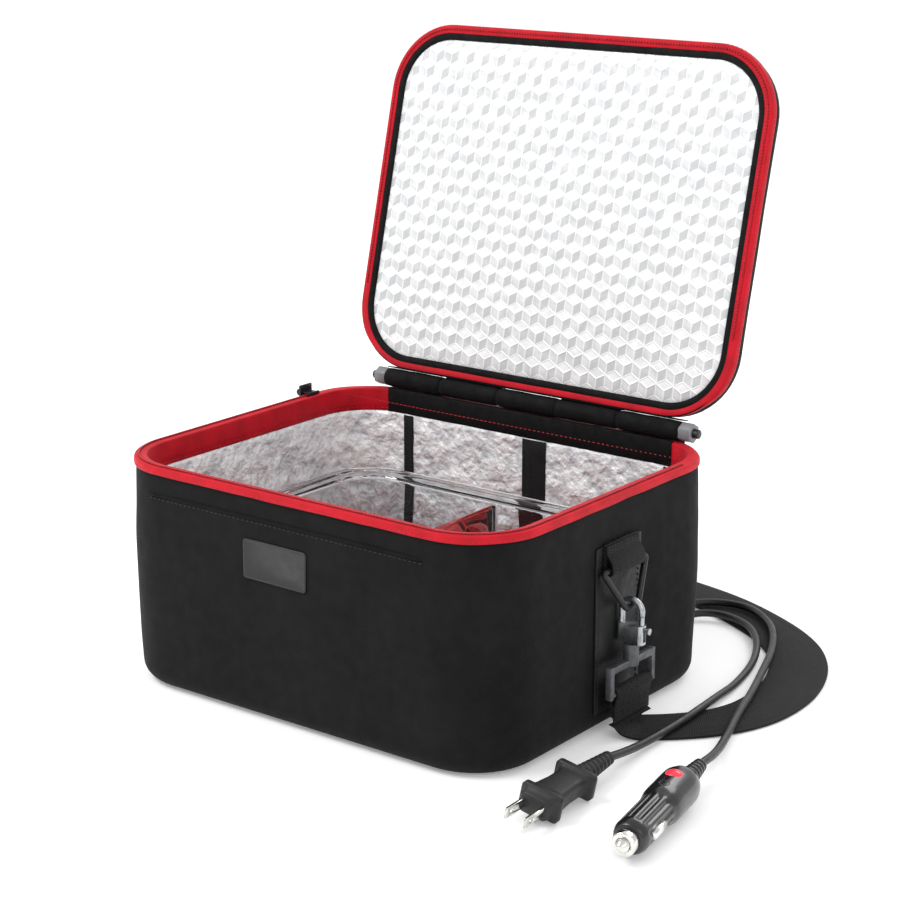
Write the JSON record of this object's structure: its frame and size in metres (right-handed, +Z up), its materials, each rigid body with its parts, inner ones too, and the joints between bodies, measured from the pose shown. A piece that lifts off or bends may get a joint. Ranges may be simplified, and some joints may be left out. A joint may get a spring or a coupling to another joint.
{
  "type": "electric lunch box",
  "caption": "Insulated lunch bag with a hinged zipped lid, a lift-out heating tray, a divided glass dish, a clip-on shoulder strap and detachable mains and car leads.",
  "frame": {"origin": "centre of the bag's footprint, on the surface it stands on", "axes": "+X along the bag's length to the right as seen from the front, +Y from the labelled front to the hinged back, +Z up"},
  "size_m": [0.5177, 0.4263, 0.3939],
  "materials": {
    "cover_fabric": "matte black woven polyester",
    "foam": "white closed-cell foam",
    "stiffener": "grey plastic board",
    "foil": "embossed silver foil film",
    "red_tape": "red woven tape",
    "zip_chain": "red nylon coil",
    "patch_plastic": "dark grey rubbery patch, blank",
    "webbing": "black woven webbing",
    "rod_plastic": "black moulded plastic",
    "cap_plastic": "grey moulded plastic",
    "black_metal": "black painted zinc",
    "tray_plastic": "dark grey moulded plastic",
    "hot_plate": "grey coated aluminium sheet",
    "element_foil": "etched copper foil",
    "component_plastic": "board and parts",
    "wire_cover": "red insulated wire",
    "inlet_plastic": "black moulded plastic",
    "bright_metal": "bright nickel plate",
    "foot_rubber": "black rubber",
    "clear_glass": "clear pressed borosilicate glass",
    "hook_metal": "satin zinc casting",
    "grey_metal": "dark grey painted zinc",
    "cord_cover": "black flexible cable jacket",
    "plug_plastic": "black moulded flexible plastic",
    "car_plug_plastic": "black moulded plastic",
    "red_lens": "red lamp lens"
  },
  "bodies": {
    "bag": {"outer_shell": "cover_fabric", "wall_insulation": "foam", "base_board": "stiffener", "foil_liner": "foil", "rim_tape": "red_tape", "lower_zip_chain": "zip_chain", "front_pocket": "cover_fabric", "label_patch": "patch_plastic", "liner_straps": "webbing", "hinge_sleeve": "cover_fabric", "hinge_rod": "rod_plastic", "hinge_end_caps": "cap_plastic", "side_patches": "webbing", "tab_loops": "webbing", "shoulder_strap": "webbing", "strap_adjuster": "rod_plastic", "ac_cord": "cord_cover", "ac_cord_coil": "cord_cover", "ac_connector": "plug_plastic", "ac_plug": "plug_plastic", "ac_plug_blades": "bright_metal", "dc_cord": "cord_cover", "dc_cord_coil": "cord_cover", "dc_barrel_plug": "plug_plastic", "car_plug": "car_plug_plastic", "car_plug_contacts": "bright_metal", "car_plug_lamp": "red_lens"},
    "lid": {"lid_shell": "cover_fabric", "lid_foam": "foam", "lid_foil_panel": "foil", "lid_binding": "webbing", "lid_zip_tape": "red_tape", "upper_zip_chain": "zip_chain", "lid_hinge_loops": "cover_fabric"},
    "tray": {"tray_housing": "tray_plastic", "heating_plate": "hot_plate", "heating_element": "element_foil", "insulation_pad": "foam", "tray_base_cover": "tray_plastic", "tray_components": "component_plastic", "tray_wiring": "wire_cover", "ac_inlet": "inlet_plastic", "dc_jack": "inlet_plastic", "inlet_metal": "bright_metal", "tray_feet": "foot_rubber", "tray_screws": "bright_metal"},
    "dish": {"glass_dish": "clear_glass"},
    "zip_slider_body": {"zip_slider": "black_metal"},
    "zip_pull_tab": {"zip_pull": "black_metal"},
    "right_clip": {"d_ring_right": "black_metal", "strap_ring_right": "grey_metal", "strap_end_right": "webbing"},
    "left_clip": {"d_ring_left": "black_metal", "strap_ring_left": "grey_metal", "strap_end_left": "webbing"},
    "right_hook": {"snap_hook_right": "hook_metal"},
    "left_hook": {"snap_hook_left": "hook_metal"},
    "right_bolt": {"hook_bolt_right": "hook_metal"},
    "left_bolt": {"hook_bolt_left": "hook_metal"},
    "car_tip": {"car_plug_tip": "bright_metal"}
  },
  "joints": [
    {"name": "lid_hinge", "type": "hinge", "parent": "bag", "child": "lid", "pos_m": [0, 0.121, 0.154], "axis": [-1, 0, 0], "range_deg": [-104, 0]},
    {"name": "tray_lift", "type": "slide", "parent": "bag", "child": "tray", "axis": [0, 0, 1], "range_m": [0, 0.195]},
    {"name": "dish_lift", "type": "slide", "parent": "tray", "child": "dish", "axis": [0, 0, 1], "range_m": [0, 0.14]},
    {"name": "zip_slide", "type": "slide", "parent": "bag", "child": "zip_slider_body", "axis": [0, -1, 0], "range_m": [0, 0.14]},
    {"name": "zip_pull_swing", "type": "hinge", "parent": "zip_slider_body", "child": "zip_pull_tab", "pos_m": [-0.1551, 0.069, 0.1484], "axis": [0, 1, 0], "range_deg": [0, 150]},
    {"name": "right_clip_swing", "type": "hinge", "parent": "bag", "child": "right_clip", "pos_m": [0.1555, 0.002, 0.104], "axis": [0, -1, 0], "range_deg": [0, 25]},
    {"name": "left_clip_swing", "type": "hinge", "parent": "bag", "child": "left_clip", "pos_m": [-0.1555, 0.002, 0.104], "axis": [0, 1, 0], "range_deg": [0, 25]},
    {"name": "right_hook_swivel", "type": "hinge", "parent": "right_clip", "child": "right_hook", "pos_m": [0.16135, 0.002, 0.05], "axis": [0, 0, 1], "range_deg": [-30, 30]},
    {"name": "left_hook_swivel", "type": "hinge", "parent": "left_clip", "child": "left_hook", "pos_m": [-0.16135, 0.002, 0.05], "axis": [0, 0, 1], "range_deg": [-30, 30]},
    {"name": "right_bolt_slide", "type": "slide", "parent": "right_hook", "child": "right_bolt", "axis": [0, 0, -1], "range_m": [0, 0.005], "stiffness_N_per_m": 120, "springref_m": -0.003},
    {"name": "left_bolt_slide", "type": "slide", "parent": "left_hook", "child": "left_bolt", "axis": [0, 0, -1], "range_m": [0, 0.005], "stiffness_N_per_m": 120, "springref_m": -0.003},
    {"name": "car_tip_press", "type": "slide", "parent": "bag", "child": "car_tip", "axis": [-0.1908, 0.9816, 0], "range_m": [0, 0.004], "stiffness_N_per_m": 400, "springref_m": -0.002}
  ]
}
